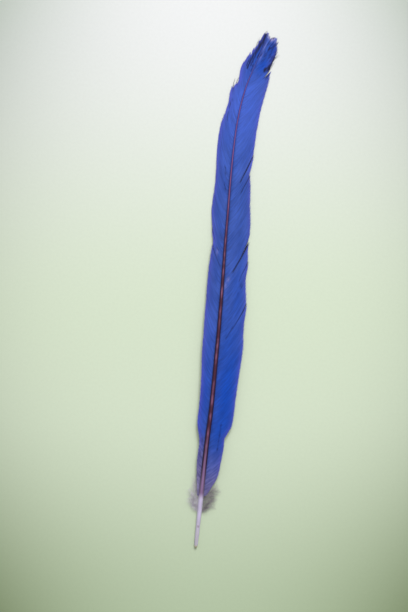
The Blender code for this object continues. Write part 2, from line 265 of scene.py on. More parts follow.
# Loose down, by its locks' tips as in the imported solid, with finer barbs on the same ways.
DOWN_TIPS = {
    LEFT: mm((17.3, 3.4), (19.6, 5.0), (22.6, 5.0), (25.8, 4.6), (29.2, 4.2)),
    RIGHT: mm((17.2, 3.4), (18.8, 5.2), (21.2, 6.3), (24.2, 6.7), (27.2, 6.3)),
}
DOWN_ROOTS = (0.0145, 0.0218)
DOWN_BEND_ALONG, DOWN_BEND_OUT = 0.3, 0.7
DOWN_TIP_HEIGHT, DOWN_TIP_RISE = 0.0003, 0.0006
DOWN_LOWEST = 0.00004
DOWN_SINK_POWER = 1.4
DOWN_BARBS = 21
DOWN_POINTS = 15
DOWN_RADIUS = curve_through([(0, 0.00006), (0.5, 0.00003), (1, 0.000012)])
DOWN_JITTER = 0.0007
DOWN_REACH, DOWN_REACH_MORE = 0.7, 0.6  # shares of the way out to the tip: a few barbs reach past it
DOWN_BENDS = (0.7, 1.25)
DOWN_CURL = 0.00022
DOWN_CURL_TURNS, DOWN_CURL_STARTS = (5, 11), (0, 6)
DOWN_SEED = {LEFT: 21, RIGHT: 22}
BARBULES = 34
BARBULE_POINTS = 4
BARBULE_LENGTH = curve_through([(0, 0.0008), (0.35, 0.002), (0.8, 0.0018), (1, 0.0009)])
BARBULE_PLACES = (0.06, 0.99)
BARBULE_ANGLE, BARBULE_ANGLE_JITTER = 0.95, 0.25
BARBULE_LENGTHS = (0.6, 1.25)
BARBULE_LIFT, BARBULE_LIFT_JITTER = 0.1, 0.35
BARBULE_BENDS = (0.1, 0.6)
BARBULE_TAPER = 0.5
BARBULE_RADIUS = 0.00001

# Loose dark barbs that stand off the margins, in mm: along, out and height of each place.
STRAY_BARBS = (
    ((199.4, 5.7, 0.4), (201.6, 6.0, 0.6), (203.3, 6.3, 0.8), (204.9, 7.1, 0.9)),
    ((200.6, 5.9, 0.3), (202.6, 6.3, 0.5), (203.8, 6.8, 0.6), (204.6, 7.6, 0.6)),
    ((196, 5.9, 0.3), (198.4, 6.3, 0.5), (200.2, 6.5, 0.6), (201.9, 6.8, 0.6)),
    ((188.4, -4.2, 0.3), (189.6, -4.3, 0.5), (190.6, -4.0, 0.5), (191.5, -4.0, 0.4)),
    ((187.0, -5.0, 0.3), (188.2, -5.3, 0.5), (189.0, -5.3, 0.5), (189.9, -5.4, 0.4)),
    ((203.6, -2.6, 0.3), (205.2, -2.9, 0.4), (206.5, -2.8, 0.5), (207.6, -2.9, 0.4)),
    ((209.0, -1.3, 0.3), (210.2, -1.5, 0.4), (210.9, -1.2, 0.4), (211.4, -1.1, 0.3)),
)
STRAY_POINTS = 12
STRAY_SIDES = 5
HAIR_SIDES = 3
STRAY_RADIUS = curve_through([(0, 0.00007), (0.6, 0.000055), (1, 0.00001)])

# A noise swings about 0.5: the narrower the span over which a tone changes, the sharper its patches.
SHARP_NOISE, EVEN_NOISE, SOFT_NOISE, SOFTEST_NOISE = (0.35, 0.65), (0.3, 0.7), (0.25, 0.75), (0.2, 0.8)

# The barbs' colours, and how their patterns stretch: across the row of barbs, and along each barb.
BLUE, PALER_BLUE = colour(48, 80, 168), colour(60, 92, 184)
BRIGHT_BLUE, DEEP_BLUE = colour(66, 98, 204), colour(4, 72, 184)
# The margins' lilac is partly the barbs' colour, partly painted sheen.
LILAC_AND_SHEEN = colour(98, 90, 206)
FOOT_MAUVE, PALER_FOOT_MAUVE = colour(92, 84, 134), colour(134, 124, 164)
WORN_PALE = colour(192, 180, 224)
# The crease colour is painted shade over dark barbules.
DARK_BLUE, SCRIBBLE_BLUE, CREASE_SHADE_BLUE = colour(12, 16, 58), colour(16, 28, 96), colour(10, 12, 44)
RIDGE_BLUE = colour(90, 110, 200)
UNDERSIDE_GREY = colour(104, 104, 132)
STREAKS, CLOUDS, SCRIBBLES, HOOKS = (3.2, 0.3, 1), (0.16, 0.22, 1), (8, 0.9, 1), (5, 22, 1)
STREAK_LIGHT = (0.8, 1.2)
STREAKS_IN_DARK = 1.1
DARK_SPAN = (0.22, 0.85)
SCRIBBLE_NOISE = (0.5, 0.64)
TONE_SHARE = 0.05
RIDGE_SHARE = 0.05
HOOK_DEPTH, HOOK_STRENGTH = 0.00003, 0.6
BARB_ROUGHNESS = (0.5, 0.68)
BARB_GLOSS = {
    "Sheen Weight": 0.04, "Sheen Roughness": 0.4, "Sheen Tint": colour(150, 150, 255),
    "Specular IOR Level": 0.18,
}

# The horn's colours, with patches of painted highlight along its top, flanks that are darker horn and
# painted shade, and painted shade in the pit, and the stretches of the shaft over which they change, in mm
# from the quill's end.
HORN, HORN_HIGHLIGHT = colour(78, 34, 58), colour(136, 82, 116)
HORN_AT_FOOT, HORN_AT_TIP = colour(146, 112, 158), colour(142, 80, 120)
FLANK_AND_SHADE, FLANK_AND_SHADE_AT_FOOT, FLANK_AND_SHADE_AT_TIP = colour(46, 16, 50), colour(120, 98, 130), colour(56, 62, 150)
QUILL, QUILL_AT_END, QUILL_FLANK = colour(214, 200, 236), colour(200, 192, 202), colour(206, 196, 224)
QUILL_RIM, PIT_SHADE_BROWN, SPOT_BROWN = colour(190, 180, 146), colour(84, 70, 44), colour(120, 88, 104)
TIP_BLUE = colour(54, 72, 160)
HORN_BELOW, QUILL_BELOW = colour(138, 116, 124), colour(206, 198, 204)
QUILL_SPAN, FOOT_SPAN, HORN_SPAN, HORN_TIP_SPAN = (3, 15), (23, 19.5), (26, 50), (110, 165)
FLANK_SPAN, FLANK_TIP_SPAN = (22, 36), (110, 175)
WIDER_FLANK_SPAN, WIDER_FLANK = (100, 185), 0.16
BLUE_SPAN = (183, 201)
RIM_SPAN = (1.6, 0.2)
SPOT_START, SPOT_END, SPOT_STRENGTH = (8.0, 8.7), (9.6, 8.9), 0.6
SPOT_NOISE, HIGHLIGHT_NOISE = (0.46, 0.6), (0.4, 0.7)
SIDE_SHARES, BELOW_SHARES = (0.22, 0.6), (0.1, 0.6)  # where the flanks and the underside take over
FIBRES, HORN_PATCHES = (3000, 160, 3000), (300, 190, 300)
FIBRE_LIGHT = (0.88, 1.1)
FIBRE_DEPTH, FIBRE_STRENGTH = 0.00003, 0.5
HORN_ROUGHNESS = (0.36, 0.52)
HORN_GLOSS = {"Specular IOR Level": 0.32, "Coat Weight": 0.08, "Coat Roughness": 0.3}

# The down and the loose barbs: material names, darker and paler colours, and how fine they are mottled.
DOWN_TONES = {
    LEFT: ("down_lavender", colour(176, 164, 186), colour(226, 218, 234)),
    RIGHT: ("down_mauve", colour(98, 78, 104), colour(166, 148, 170)),
}
DOWN_MOTTLE = (700, 700, 700)
HAIR_PALENESS = 0.3
DOWN_GLOSS = {"Sheen Weight": 0.3}
DOWN_ROUGHNESS = (0.7, 0.85)
STRAY_DARK, STRAY_PALER = colour(26, 20, 44), colour(58, 50, 96)
STRAY_MOTTLE = (900, 900, 900)
STRAY_ROUGHNESS = (0.5, 0.7)

# The photograph: its frame in pixels, and where it lies over the surface.
PHOTO_SIZE = (408, 612)
PIXEL = 0.406 * MM
PHOTO_TURN = np.radians(5.4)
QUILL_END_PIXEL = (195.7, 547.5)
CAMERA_HEIGHT = 0.65
CAMERA_NEAR = 0.01
SENSOR = 36.0

# The surface: its tones, lighter towards the photograph's top with painted glare of the window light, the
# share of red, green and blue that painted shade leaves in the photograph's corners, how much of the light
# its sides lose to painted shade, and the darker tones of painted light fall-off that take over outside the
# photograph. Spans are in half heights of the photograph from its middle, and the last one in half widths
# too.
SURFACE_SIZE = 12.0
SURFACE_DROP = 0.00005
SURFACE_FOOT, SURFACE_MIDDLE = colour(190, 207, 173), colour(224, 236, 211)
SURFACE_TOP_GLARE = colour(240, 240, 241)
FOOT_HEIGHTS, TOP_HEIGHTS, ALL_HEIGHTS = (-1.15, -0.3), (-0.1, 1.0), (-1, 1)
FOOT_CORNER_SHADE = (0.56, 0.59, 0.48, 1)
TOP_CORNER_SHADE = (0.67, 0.73, 0.65, 1)
UNSHADED = (1, 1, 1, 1)
SIDE_LOSS = 0.12
FAR_FOOT_SHADE, FAR_TOP_SHADE = colour(168, 183, 152), colour(209, 215, 207)
FAR_HEIGHTS = (-2, 2)
FAR_FADE = (1.0, 2.2)
GRAIN, GRAIN_LIGHT = (900, 900, 900), (0.985, 1.01)
SURFACE_ROUGHNESS = 0.7

# The light: soft and from the photograph's top, as distances to its right, up it and above the surface.
WINDOW_PLACE = (0.18, 0.66, 0.85)
WINDOW_SIZE = 0.5
WINDOW_WATTS = 8.4
ROOM_COLOUR = (0.97, 1.0, 0.98, 1)
ROOM_STRENGTH = 0.42


def on_feather(along, out, height):
    """World points for places on the feather, out being square to the shaft's middle line."""
    slope = (SHAFT_SWEEP(along + MM / 2) - SHAFT_SWEEP(along - MM / 2)) / MM
    run = np.hypot(1, slope)
    x = QUILL_X + SHAFT_SWEEP(along) + out / run
    y = QUILL_Y + along - out * slope / run
    return np.stack([x, y, np.broadcast_to(height, x.shape)], axis=-1)


def sheet_height(side, along, out):
    """Height of the middle of a vane, which bends down from the shaft to its margin."""
    root = SHAFT_LIFT(along) + VANE_ROOT * SHAFT_HALF_WIDTH(along)
    share = np.clip(out / FULL_WIDTH[side], 0, 1) ** CAMBER_POWER
    return root + (EDGE_HEIGHT[side](along) - root) * share


def barb_along(side, base, out):
    """How far along the feather a barb that leaves the shaft at base is, when it is that far out."""
    return base + out * (BARB_LEAN(base) + BARB_CURL[side](base) * out)


def barb_slope(side, base, out):
    """How far along a barb runs for each metre outwards."""
    return BARB_LEAN(base) + 2 * BARB_CURL[side](base) * out


def barb_reach(side, base):
    """How far out a barb reaches: to the margin, or to the frayed end."""
    out = np.arange(0, LONGEST_OUT, REACH_STEP)
    along = barb_along(side, base, out)
    past = (out > VANE_WIDTH[side](along)) | (along > FRAYED_END(side * out))
    return out[np.argmax(past)]


def spread(side, base, out):
    """How far apart barbs run, square to their way, for each metre between their bases."""
    step = REACH_STEP
    apart = barb_along(side, base + step, out) - barb_along(side, base - step, out)
    return apart / (2 * step) / np.hypot(1, barb_slope(side, base, out))


def barb_bases(side):
    """Where the barbs of one vane leave the shaft, evenly apart across the vane."""
    bases = [VANE_START]
    while bases[-1] < VANE_END:
        base = bases[-1]
        bases.append(base + BARB_GAP / float(spread(side, base, barb_reach(side, base) / 2)))
    return np.array(bases[:-1])


def swell(seed, along, out, size):
    """A smooth random swell over the feather, about -1 to 1, with waves of about that size."""
    waves = np.random.default_rng(seed).uniform(0, 1, (SWELL_WAVES, 3))
    total = 0
    for turn, phase, stretch in waves:
        way = along * np.cos(np.pi * turn) + out * np.sin(np.pi * turn)
        rate = SWELL_RATE + SWELL_RATE_RANGE * stretch
        total = total + np.sin(2 * np.pi * (way * rate / size + phase))
    return total / SWELL_WAVES**0.5


def strands(name, centre, across, up, way=1):
    """Closed strands of a few sides, joined in one mesh.

    centre is (strand, point, xyz). across and up are (strand, point, corner): where each corner of
    the cross-section lies, sideways and upwards.
    """
    tangent = np.gradient(centre, axis=1)
    sideways = np.cross(tangent, (0, 0, way))
    sideways /= np.linalg.norm(sideways, axis=-1, keepdims=True)
    upwards = way * np.cross(sideways, tangent)
    upwards /= np.linalg.norm(upwards, axis=-1, keepdims=True)
    points = centre[:, :, None] + across[..., None] * sideways[:, :, None]
    points = points + up[..., None] * upwards[:, :, None]
    count, rings, corners = across.shape
    index = np.arange(count * rings * corners).reshape(count, rings, corners)
    near, far = index[:, :-1], index[:, 1:]
    quads = np.stack([near, np.roll(near, -1, 2), np.roll(far, -1, 2), far], axis=-1).reshape(-1, 4)
    caps = [*index[:, 0].tolist(), *index[:, -1, ::-1].tolist()]
    return piece(name, points, quads.tolist() + caps)


def piece(name, points, faces):
    """A smooth mesh object with its faces turned outwards."""
    mesh = bpy.data.meshes.new(name)
    mesh.from_pydata(points.reshape(-1, 3).tolist(), [], faces)
    shape = bmesh.new()
    shape.from_mesh(mesh)
    bmesh.ops.recalc_face_normals(shape, faces=shape.faces)
    shape.to_mesh(mesh)
    shape.free()
    mesh.shade_smooth()
    mesh.set_sharp_from_angle(angle=SHARP_ANGLE)
    made = bpy.data.objects.new(name, mesh)
    bpy.context.scene.collection.objects.link(made)
    return made


def paint(made, name, values, each="POINT"):
    """Keeps a number for each point or face of the mesh, for its material."""
    attribute = made.data.attributes.new(name, "FLOAT", each)
    attribute.data.foreach_set("value", np.ascontiguousarray(values, dtype=np.float32).ravel())


def paint_vector(made, name, values):
    """Keeps a vector for each point of the mesh, for its material."""
    attribute = made.data.attributes.new(name, "FLOAT_VECTOR", "POINT")
    attribute.data.foreach_set("vector", np.ascontiguousarray(values, dtype=np.float32).ravel())


def tubes(name, paths, radius, sides=HAIR_SIDES):
    """Thin round strands along paths of points."""
    turn = np.arange(sides) * 2 * np.pi / sides
    across = radius[..., None] * np.cos(turn)
    up = radius[..., None] * np.sin(turn)
    return strands(name, paths, across, up)


def give_way(side, base, along, out, reach, push_sunken):
    """Parts the barbs at each split, and says how much painted shade, over their dark barbules, the parted
    edges get.
    """
    slope = barb_slope(side, base, out)
    run = np.hypot(1, slope)
    shade = np.zeros(out.shape)
    for on, place, opens, gap, _ in SPLITS:
        if on != side:
            continue
        away = base - place
        ramp = np.clip((out - opens) / np.maximum(reach - opens, SHORTEST_SPLIT), 0, 1)
        push = np.sign(away) * gap / 2 * ramp * np.exp(-abs(away) / SPLIT_FADE) * push_sunken
        along = along + push / run
        out = out - push * slope / run
        shade = np.maximum(shade, ramp**0.5 * np.exp(-((away / SPLIT_SHADE) ** 2)) * SPLIT_SHADE_STRENGTH)
    return along, out, shade


def stroke_shade(kind, along, out):
    """How strong the strokes of one kind are at each place."""
    shade = np.zeros(along.shape)
    spot = np.stack([along, out], axis=-1) / MM
    for what, half_width, strength, *line in STROKES:
        if what != kind:
            continue
        places = np.array(line)
        for start, end in zip(places, places[1:]):
            run = end - start
            share = np.clip((spot - start) @ run / (run @ run), 0, 1)
            away = np.linalg.norm(spot - start - share[..., None] * run, axis=-1)
            shade = np.maximum(shade, strength * np.exp(-((away / half_width) ** 2)))
    return shade


def patch_shade(kind, along, out):
    """How strong the patches of one kind are at each place."""
    shade = np.zeros(along.shape)
    for what, middle_along, middle_out, length, width, strength in PATCHES:
        if what != kind:
            continue
        far = ((along / MM - middle_along) / length) ** 2 + ((out / MM - middle_out) / width) ** 2
        shade = np.maximum(shade, strength * np.exp(-far))
    return shade


def barb_rows(side):
    """Where each barb of one vane starts, along and out, its width, and whether it is sunk in a split."""
    row = barb_bases(side)
    sunk = [(place + share * gap, opens) for on, place, opens, gap, filled in SPLITS
            if on == side and filled for share in SUNKEN_PLACES]
    base = np.append(row, [place for place, _ in sunk])
    start = np.append(np.full(len(row), BARB_ROOT), [opens * SUNKEN_START for _, opens in sunk])
    width = np.append(np.gradient(row), np.full(len(sunk), BARB_GAP * SUNKEN_WIDTH))
    is_sunk = np.append(np.zeros(len(row)), np.ones(len(sunk)))
    return (one[:, None] for one in (base, start, width, is_sunk))


def barb_ends(side, base, start, dice):
    """How far out each barb ends: unevenly, and a little past where it meets the margin."""
    reach = np.array([barb_reach(side, one) for one in base[:, 0]])[:, None]
    jitter = np.where(base > TIP_FROM, TIP_JITTER, REACH_JITTER)
    jitter = jitter * dice.uniform(*JITTER_RANGE, reach.shape)
    extra = (OVERREACH + jitter) / np.maximum(BARB_LEAN(base), 1)
    return np.maximum(reach + extra, start + SHORTEST_BARB)


def vane(side, name):
    """One vane: hundreds of separate barbs, each a thin strip with a ridge, parted at the splits."""
    dice = np.random.default_rng(ROW_SEED + side)
    base, start, width, is_sunk = barb_rows(side)
    reach = barb_ends(side, base, start, dice)
    share = np.linspace(0, 1, BARB_SEGMENTS + 1)[None, :]
    out = start + share * (reach - start)
    along = barb_along(side, base, out)
    along, out, parted = give_way(side, base, along, out, reach, 1 - is_sunk)
    wander = swell(side + WANDER_SEED, along, out, WANDER_SIZE)
    along = along + WANDER * wander * np.clip(out / HELD_OUT, 0, 1)
    height = sheet_height(side, along, out) - SUNKEN_DEPTH * is_sunk
    rise = swell(side + SWELL_SEED, along, out, SWELL_SIZE)
    height += SWELL_HEIGHT * rise * np.clip(out / HELD_OUT - 1, 0, 1)
    height += LIFT_JITTER * dice.normal(0, 1, base.shape) * share
    full_half = BARB_OVERLAP / 2 * spread(side, base, out) * width
    half = full_half * np.clip((1 - share) / POINTED_SHARE, POINT_WIDTH, 1)
    thin = np.clip(half / (BARB_OVERLAP / 2 * BARB_GAP), THINNEST, 1)[..., None]
    up = np.maximum(SECTION_UP * thin, LOWEST - height[..., None])
    across = half[..., None] * SECTION_ACROSS
    made = strands(name, on_feather(along, side * out, height), across, up, way=-side)
    mark_vane(made, side, along, out, base, np.maximum(parted, is_sunk), dice)
    return made


def mark_vane(made, side, along, out, base, parted, dice):
    """Keeps what the material needs at each point: patches, painted shade of creases, splits and roots,
    margins and each barb's tone.
    """
    signed = side * out
    beside_shaft = np.maximum(out - SHAFT_HALF_WIDTH(along), 0)
    to_margin = np.maximum(VANE_WIDTH[side](along) - out, 0)
    # Painted shade where the barbs meet the shaft.
    root = ROOT_SHADE(along) * np.exp(-beside_shaft / ROOT_SHADE_FADE)
    kinds = ("deep", "dark", "scribbled", "worn", "bright")
    marks = {kind: patch_shade(kind, along, signed) for kind in kinds}
    marks["dark"] = np.maximum(marks["dark"], stroke_shade("dark", along, signed))
    # Creases: dark barbules and painted shade at the splits, by the shaft and along the crease lines.
    marks["crease_shade"] = np.maximum.reduce([parted, root, stroke_shade("crease_shade", along, signed)])
    marks["foot"] = FOOT_SHARE[side](along)
    # Lilac towards each margin, partly painted sheen.
    marks["lilac"] = LILAC_SHEEN_STRENGTH[side] * np.exp(-to_margin / LILAC_SHEEN_FADE[side])
    marks["tone"] = dice.normal(0, 1, base.shape) + 0 * out
    corners = np.ones(len(SECTION_ACROSS))
    for mark, values in marks.items():
        paint(made, mark, values[..., None] * corners)
    paint(made, "ridge", np.broadcast_to(SECTION_RIDGE, (*out.shape, len(corners))))
    place = np.stack([base + 0 * out, out, np.full(out.shape, side * MM)], axis=-1) / MM
    paint_vector(made, "strand", np.repeat(place[:, :, None], len(corners), axis=2))
    caps = np.zeros(2 * len(base))
    paint(made, "under", np.append(np.tile(SECTION_BELOW, len(base) * BARB_SEGMENTS), caps), "FACE")


def shaft(name):
    """The quill and the shaft: round horn above, grooved below, with the small pit in the quill's end."""
    along = SHAFT_LENGTH * np.linspace(0, 1, SHAFT_RINGS) ** SHAFT_RING_POWER
    turn = np.arange(SHAFT_SIDES) * 2 * np.pi / SHAFT_SIDES
    rings = []
    for share, depth in reversed(PIT_RINGS):
        rings.append(shaft_ring(depth, share * SHAFT_HALF_WIDTH(0.0) / SHAFT_HALF_WIDTH(depth), turn))
    rings += [shaft_ring(one, 1, turn) for one in along]
    points = np.concatenate(rings)
    faces = [list(range(SHAFT_SIDES)), list(range(len(points) - SHAFT_SIDES, len(points)))]
    for ring in range(len(rings) - 1):
        for k in range(SHAFT_SIDES):
            a, b = ring * SHAFT_SIDES + k, ring * SHAFT_SIDES + (k + 1) % SHAFT_SIDES
            faces.append((a, b, b + SHAFT_SIDES, a + SHAFT_SIDES))
    made = piece(name, points, faces)
    lengths = np.append([depth for _, depth in reversed(PIT_RINGS)], along)
    pit = np.append(np.ones(len(PIT_RINGS)), np.zeros(len(along)))
    paint(made, "along", np.repeat(lengths / MM, SHAFT_SIDES))
    paint(made, "pit", np.repeat(pit, SHAFT_SIDES))
    # How far each point lies towards the flanks, where the material paints shade.
    flank = np.where(np.sin(turn) > 0, abs(np.cos(turn)), 1)
    paint(made, "side", np.tile(flank, len(rings)))
    paint(made, "below", np.tile(np.clip(-np.sin(turn), 0, 1), len(rings)))
    return made


def shaft_ring(along, share, turn):
    """One ring of points round the shaft, that share of its full size."""
    half = SHAFT_HALF_WIDTH(along)
    middle = SHAFT_LIFT(along) + SHAFT_ASPECT * half
    groove = GROOVE_SHARE(along) * half * np.exp(-((turn - UNDERSIDE_TURN) / GROOVE_HALF_TURN) ** 2)
    height = middle + share * (SHAFT_ASPECT * half * np.sin(turn)) + groove
    return on_feather(np.full(len(turn), along), share * np.cos(turn) * half, height)


def down_ways(side, dice):
    """The middle lines of the down's barbs on one side, as (barb, point) arrays of along, out, height."""
    tips = DOWN_TIPS[side]
    order = np.linspace(0, 1, DOWN_BARBS)
    known = np.linspace(0, 1, len(tips))
    tip_along = np.interp(order, known, tips[:, 0]) + DOWN_JITTER * dice.normal(0, 1, DOWN_BARBS)
    reach = DOWN_REACH + DOWN_REACH_MORE * dice.uniform(0, 1, DOWN_BARBS) ** 2
    tip_out = np.interp(order, known, tips[:, 1]) * reach
    root = DOWN_ROOTS[0] + (DOWN_ROOTS[1] - DOWN_ROOTS[0]) * order
    bend = dice.uniform(*DOWN_BENDS, DOWN_BARBS)
    t = np.linspace(0, 1, DOWN_POINTS)
    root, tip_along, tip_out, bend = (one[:, None] for one in (root, tip_along, tip_out, bend))
    bend_along = root + DOWN_BEND_ALONG * bend * (tip_along - root)
    along = (1 - t) ** 2 * root + 2 * t * (1 - t) * bend_along + t * t * tip_along
    out = (2 * t * (1 - t) * DOWN_BEND_OUT + t * t) * tip_out
    start = SHAFT_LIFT(root) + SHAFT_HALF_WIDTH(root)
    end = DOWN_TIP_HEIGHT + DOWN_TIP_RISE * dice.uniform(0, 1, root.shape)
    height = start + (end - start) * t**DOWN_SINK_POWER
    turns = t * dice.uniform(*DOWN_CURL_TURNS, root.shape) + dice.uniform(*DOWN_CURL_STARTS, root.shape)
    curl = DOWN_CURL * np.sin(turns) * t
    return along + curl, out, height


def barbules(paths, dice):
    """Fine hairs on both sides of each barb of down, which bend towards its tip."""
    place = np.linspace(*BARBULE_PLACES, BARBULES)
    at = place * (DOWN_POINTS - 1)
    low = np.minimum(at.astype(int), DOWN_POINTS - 2)
    part = (at - low)[None, :, None]
    root = paths[:, low] * (1 - part) + paths[:, low + 1] * part
    ahead = paths[:, low + 1] - paths[:, low]
    ahead /= np.linalg.norm(ahead, axis=-1, keepdims=True)
    sideways = np.cross(ahead, (0, 0, 1))
    sideways /= np.linalg.norm(sideways, axis=-1, keepdims=True)
    hairs = []
    for way in (-1, 1):
        shape = root.shape[:2]
        angle = BARBULE_ANGLE + BARBULE_ANGLE_JITTER * dice.normal(0, 1, shape)
        length = BARBULE_LENGTH(place) * dice.uniform(*BARBULE_LENGTHS, shape)
        lift = dice.normal(BARBULE_LIFT, BARBULE_LIFT_JITTER, shape)[..., None] * np.array([0, 0, 1])
        bend = dice.uniform(*BARBULE_BENDS, shape)
        points = [root]
        for t in np.linspace(0, 1, BARBULE_POINTS)[1:]:
            turn = (angle - bend * t)[..., None]
            step = np.cos(turn) * ahead + way * np.sin(turn) * sideways + lift
            points.append(root + (t * length)[..., None] * step)
        hairs.append(np.stack(points, axis=2).reshape(-1, BARBULE_POINTS, 3))
    return np.concatenate(hairs)


def down(side, name):
    """The loose down on one side of the quill: barbs with fine hairs on both sides."""
    dice = np.random.default_rng(DOWN_SEED[side])
    along, out, height = down_ways(side, dice)
    paths = on_feather(along, side * out, height)
    share = np.broadcast_to(np.linspace(0, 1, DOWN_POINTS), along.shape)
    stems = tubes(name, paths, DOWN_RADIUS(share))
    hairs = barbules(paths, dice)
    hairs[..., 2] = np.maximum(hairs[..., 2], DOWN_LOWEST)
    taper = np.linspace(1, BARBULE_TAPER, BARBULE_POINTS)
    radius = np.broadcast_to(BARBULE_RADIUS * taper, hairs.shape[:2])
    fine = tubes(name + "_hairs", hairs, radius)
    paint(stems, "hair", np.zeros(len(stems.data.vertices)))
    paint(fine, "hair", np.ones(len(fine.data.vertices)))
    join(stems, fine)
    return stems


def join(kept, other):
    """Puts the other mesh into the kept one."""
    shape = bmesh.new()
    shape.from_mesh(kept.data)
    shape.from_mesh(other.data)
    shape.to_mesh(kept.data)
    shape.free()
    kept.data.shade_smooth()
    bpy.data.objects.remove(other)


def stray_barbs(name):
    """Single dark barbs that have come loose from the margins near the tip."""
    paths = []
    for line in STRAY_BARBS:
        known = np.linspace(0, 1, len(line))
        at = np.linspace(0, 1, STRAY_POINTS)
        along, out, height = (curve_through(np.stack([known, axis], axis=1))(at) for axis in mm(*line).T)
        paths.append(on_feather(along, out, height))
    share = np.broadcast_to(np.linspace(0, 1, STRAY_POINTS), (len(paths), STRAY_POINTS))
    return tubes(name, np.array(paths), STRAY_RADIUS(share), STRAY_SIDES)


class Nodes:
    """Builds one procedural material, node by node."""

    MIX_A, MIX_B, MIX_RESULT = 6, 7, 2  # the colour sockets of a Mix node

    def __init__(self, name):
        self.material = bpy.data.materials.new(name)
        self.material.use_nodes = True
        self.tree = self.material.node_tree
        self.shader = self.tree.nodes["Principled BSDF"]

    def connect(self, socket, value):
        """Links a socket to another node's output, or sets it to a number or a colour."""
        if isinstance(value, bpy.types.NodeSocket):
            self.tree.links.new(value, socket)
        else:
            socket.default_value = value

    def attribute(self, name, output="Fac"):
        node = self.tree.nodes.new("ShaderNodeAttribute")
        node.attribute_name = name
        return node.outputs[output]

    def position(self):
        return self.tree.nodes.new("ShaderNodeNewGeometry").outputs["Position"]

    def math(self, operation, *values):
        node = self.tree.nodes.new("ShaderNodeMath")
        node.operation = operation
        for socket, value in zip(node.inputs, values):
            self.connect(socket, value)
        return node.outputs[0]

    def stretched(self, vector, by):
        node = self.tree.nodes.new("ShaderNodeVectorMath")
        node.operation = "MULTIPLY"
        self.connect(node.inputs[0], vector)
        node.inputs[1].default_value = by
        return node.outputs[0]

    def noise(self, vector, detail=2.0):
        node = self.tree.nodes.new("ShaderNodeTexNoise")
        node.inputs["Scale"].default_value = 1.0
        node.inputs["Detail"].default_value = detail
        self.connect(node.inputs["Vector"], vector)
        return node.outputs["Fac"]

    def range(self, value, low, high, to_low=0.0, to_high=1.0):
        node = self.tree.nodes.new("ShaderNodeMapRange")
        node.interpolation_type = "SMOOTHSTEP"
        self.connect(node.inputs["Value"], value)
        for name, number in zip(("From Min", "From Max", "To Min", "To Max"), (low, high, to_low, to_high)):
            node.inputs[name].default_value = number
        return node.outputs["Result"]

    def mix(self, factor, a, b, blend="MIX"):
        node = self.tree.nodes.new("ShaderNodeMix")
        node.data_type = "RGBA"
        node.blend_type = blend
        self.connect(node.inputs["Factor"], factor)
        self.connect(node.inputs[self.MIX_A], a)
        self.connect(node.inputs[self.MIX_B], b)
        return node.outputs[self.MIX_RESULT]

    def grey(self, value):
        """The same number as red, green and blue."""
        node = self.tree.nodes.new("ShaderNodeCombineColor")
        for socket in node.inputs:
            self.connect(socket, value)
        return node.outputs["Color"]

    def bump(self, height, distance, strength=1.0):
        node = self.tree.nodes.new("ShaderNodeBump")
        node.inputs["Strength"].default_value = strength
        node.inputs["Distance"].default_value = distance
        self.connect(node.inputs["Height"], height)
        self.connect(self.shader.inputs["Normal"], node.outputs["Normal"])

    def gloss(self, levels):
        """Sets the shader's own sockets to levels that are the same all over."""
        for socket, level in levels.items():
            self.shader.inputs[socket].default_value = level

    def finish(self, base, roughness):
        self.connect(self.shader.inputs["Base Color"], base)
        self.connect(self.shader.inputs["Roughness"], roughness)
        return self.material


def barb_material():
    """Blue barbs: violet blue, deeper in patches, lilac at the margins that is partly painted sheen, painted
    shade in creases, grey mauve at the foot and below.
    """
    made = Nodes("barbs")
    strand = made.attribute("strand", "Vector")
    streaks = made.noise(made.stretched(strand, STREAKS), detail=3)
    base = made.mix(made.attribute("under"), barb_upper(made, strand, streaks), UNDERSIDE_GREY)
    made.bump(made.noise(made.stretched(strand, HOOKS)), HOOK_DEPTH, HOOK_STRENGTH)
    made.gloss(BARB_GLOSS)
    return made.finish(base, made.range(streaks, *SOFTEST_NOISE, *BARB_ROUGHNESS))


def barb_upper(made, strand, streaks):
    """The colour of the barbs' upper side."""
    clouds = made.noise(made.stretched(strand, CLOUDS))
    base = made.mix(made.range(clouds, *SHARP_NOISE), BLUE, PALER_BLUE)
    base = made.mix(made.attribute("bright"), base, BRIGHT_BLUE)
    base = made.mix(made.attribute("deep"), base, DEEP_BLUE)
    # Lilac at the margins, partly painted sheen.
    base = made.mix(made.attribute("lilac"), base, LILAC_AND_SHEEN)
    foot = made.mix(made.range(streaks, *EVEN_NOISE), FOOT_MAUVE, PALER_FOOT_MAUVE)
    base = made.mix(made.attribute("foot"), base, foot)
    base = made.mix(made.attribute("worn"), base, WORN_PALE)
    rough = made.math("MULTIPLY_ADD", streaks, STREAKS_IN_DARK, -STREAKS_IN_DARK / 2)
    rough_dark = made.math("ADD", made.attribute("dark"), rough)
    base = made.mix(made.range(rough_dark, *DARK_SPAN), base, DARK_BLUE)
    scribbles = made.range(made.noise(made.stretched(strand, SCRIBBLES), detail=3), *SCRIBBLE_NOISE)
    base = made.mix(made.math("MULTIPLY", scribbles, made.attribute("scribbled")), base, SCRIBBLE_BLUE)
    # Painted shade over dark barbules in the creases, at the splits and by the shaft.
    base = made.mix(made.attribute("crease_shade"), base, CREASE_SHADE_BLUE)
    light = made.math("MULTIPLY_ADD", made.attribute("tone"), TONE_SHARE, 1.0)
    light = made.math("MULTIPLY", light, made.range(streaks, *SOFT_NOISE, *STREAK_LIGHT))
    base = made.mix(1.0, base, made.grey(light), "MULTIPLY")
    return made.mix(made.math("MULTIPLY", made.attribute("ridge"), RIDGE_SHARE), base, RIDGE_BLUE)


